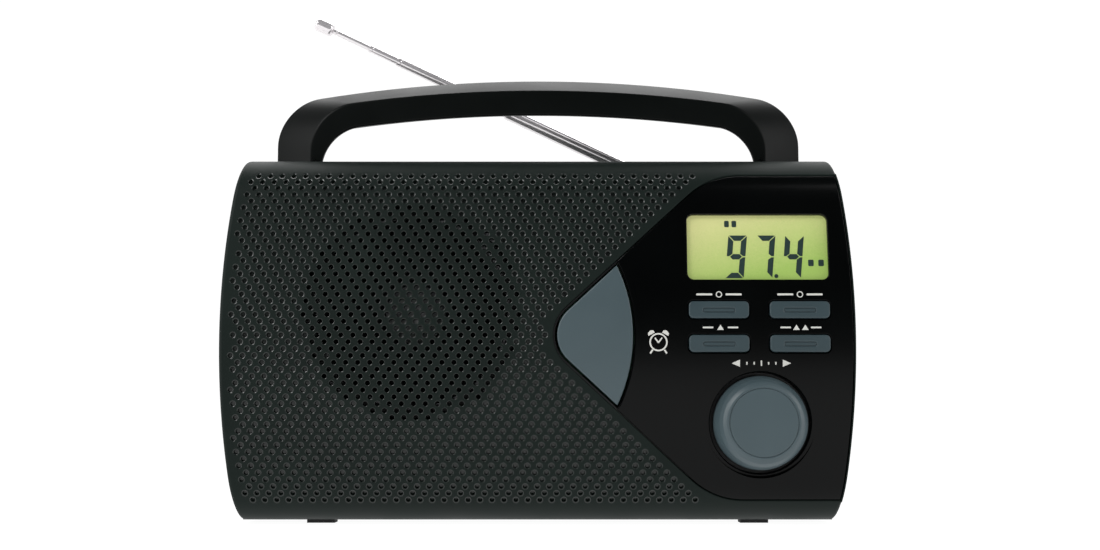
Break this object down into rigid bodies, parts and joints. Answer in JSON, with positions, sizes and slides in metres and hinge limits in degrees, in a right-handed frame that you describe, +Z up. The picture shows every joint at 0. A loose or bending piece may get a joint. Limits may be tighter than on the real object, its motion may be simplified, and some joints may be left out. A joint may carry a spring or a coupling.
{
  "type": "tabletop radio",
  "caption": "Portable tabletop clock radio with a carrying handle, telescopic antenna, perforated speaker front, display, push buttons and a tuning knob.",
  "frame": {"origin": "middle of the footprint of the whole object, on the surface that its feet stand on", "axes": "+X to the right as seen from the front, +Y towards the back, +Z up"},
  "size_m": [0.23, 0.0808, 0.2018],
  "materials": {
    "shell_plastic": "fine spark-eroded grain, matte charcoal",
    "handle_plastic": "fine grain, satin black",
    "panel_gloss": "piano-black gloss",
    "display_window": "clear, polished",
    "display_glass": "yellow-green reflective display",
    "white_plastic": "moulded",
    "grey_plastic": "satin blue-grey",
    "black_plastic": "moulded",
    "circuit_board": "green solder mask",
    "bright_steel": "zinc plated",
    "pressed_steel": "plated sheet",
    "ferrite": "sintered",
    "paper_cone": "pressed paper",
    "dust_cap": "bright",
    "copper": "enamelled copper wire",
    "chrome": "polished",
    "rubber": "matte",
    "wire": "insulated wire"
  },
  "bodies": {
    "case": {"front_shell": "shell_plastic", "rear_shell": "shell_plastic", "control_panel": "panel_gloss", "lcd_window": "display_window", "lcd_module": "display_glass", "lcd_holder": "white_plastic", "key_board": "circuit_board", "key_switches": "black_plastic", "tuning_capacitor": "white_plastic", "speaker_frame": "pressed_steel", "speaker_magnet": "ferrite", "speaker_cone": "paper_cone", "speaker_dust_cap": "dust_cap", "speaker_screws": "bright_steel", "speaker_gasket": "rubber", "main_board": "circuit_board", "ferrite_rod": "ferrite", "ferrite_coil": "copper", "ferrite_holders": "white_plastic", "transformer": "pressed_steel", "ac_inlet": "black_plastic", "headphone_jack": "black_plastic", "volume_pot": "pressed_steel", "band_switch": "pressed_steel", "power_switch": "pressed_steel", "battery_springs": "bright_steel", "battery_contacts": "bright_steel", "handle": "handle_plastic", "handle_screws": "bright_steel", "feet": "rubber", "case_screws": "bright_steel", "board_screws": "bright_steel", "speaker_wires": "wire"},
    "snooze": {"snooze_button": "grey_plastic"},
    "time_set": {"time_set_button": "grey_plastic"},
    "alarm_set": {"alarm_set_button": "grey_plastic"},
    "hour": {"hour_button": "grey_plastic"},
    "minute": {"minute_button": "grey_plastic"},
    "tuning": {"tuning_knob": "grey_plastic", "tuning_shaft": "bright_steel"},
    "volume": {"volume_wheel": "black_plastic"},
    "band_slider": {"band_switch_knob": "grey_plastic"},
    "power_slider": {"power_switch_knob": "grey_plastic"},
    "bay_door": {"battery_door": "shell_plastic"},
    "antenna_base": {"antenna_swivel": "chrome", "antenna_swivel_screw": "bright_steel", "antenna_pivot_pin": "bright_steel"},
    "antenna_1": {"antenna_tube": "chrome"},
    "antenna_2": {"antenna_section_2": "chrome"},
    "antenna_3": {"antenna_section_3": "chrome"},
    "antenna_4": {"antenna_section_4": "chrome"},
    "antenna_5": {"antenna_section_5": "chrome", "antenna_tip": "chrome"}
  },
  "joints": [
    {"name": "snooze_press", "type": "slide", "parent": "case", "child": "snooze", "axis": [0, 1, 0], "range_m": [0, 0.0012], "stiffness_N_per_m": 350, "springref_m": -0.0003},
    {"name": "time_set_press", "type": "slide", "parent": "case", "child": "time_set", "axis": [0, 1, 0], "range_m": [0, 0.0008], "stiffness_N_per_m": 400, "springref_m": -0.0003},
    {"name": "alarm_set_press", "type": "slide", "parent": "case", "child": "alarm_set", "axis": [0, 1, 0], "range_m": [0, 0.0008], "stiffness_N_per_m": 400, "springref_m": -0.0003},
    {"name": "hour_press", "type": "slide", "parent": "case", "child": "hour", "axis": [0, 1, 0], "range_m": [0, 0.0008], "stiffness_N_per_m": 400, "springref_m": -0.0003},
    {"name": "minute_press", "type": "slide", "parent": "case", "child": "minute", "axis": [0, 1, 0], "range_m": [0, 0.0008], "stiffness_N_per_m": 400, "springref_m": -0.0003},
    {"name": "tuning_turn", "type": "hinge", "parent": "case", "child": "tuning", "pos_m": [0.0803, -0.03155, 0.0368], "axis": [0, 1, 0], "range_deg": [-90, 90]},
    {"name": "volume_turn", "type": "hinge", "parent": "case", "child": "volume", "pos_m": [0.1008, 0.00645, 0.1044], "axis": [0, 1, 0], "range_deg": [-135, 135]},
    {"name": "band_slide", "type": "slide", "parent": "case", "child": "band_slider", "axis": [0, 0, 1], "range_m": [-0.003, 0]},
    {"name": "power_slide", "type": "slide", "parent": "case", "child": "power_slider", "axis": [0, 0, 1], "range_m": [-0.003, 0.003]},
    {"name": "battery_door_open", "type": "hinge", "parent": "case", "child": "bay_door", "pos_m": [-0.045, 0.03885, 0.01], "axis": [-1, 0, 0], "range_deg": [0, 80]},
    {"name": "antenna_swivel_turn", "type": "hinge", "parent": "case", "child": "antenna_base", "pos_m": [0.0775, 0.03095, 0.1194], "axis": [0, 0, -1], "range_deg": [0, 180]},
    {"name": "antenna_tilt", "type": "hinge", "parent": "antenna_base", "child": "antenna_1", "pos_m": [0.0775, 0.03095, 0.1194], "axis": [0, 1, 0], "range_deg": [-25.5, 64.5]},
    {"name": "antenna_slide_2", "type": "slide", "parent": "antenna_1", "child": "antenna_2", "axis": [-0.9026, 0, 0.4305], "range_m": [-0.0236, 0.0524]},
    {"name": "antenna_slide_3", "type": "slide", "parent": "antenna_2", "child": "antenna_3", "axis": [-0.9026, 0, 0.4305], "range_m": [-0.026, 0.048]},
    {"name": "antenna_slide_4", "type": "slide", "parent": "antenna_3", "child": "antenna_4", "axis": [-0.9026, 0, 0.4305], "range_m": [-0.0128, 0.0592]},
    {"name": "antenna_slide_5", "type": "slide", "parent": "antenna_4", "child": "antenna_5", "axis": [-0.9026, 0, 0.4305], "range_m": [-0.0164, 0.0536]}
  ]
}
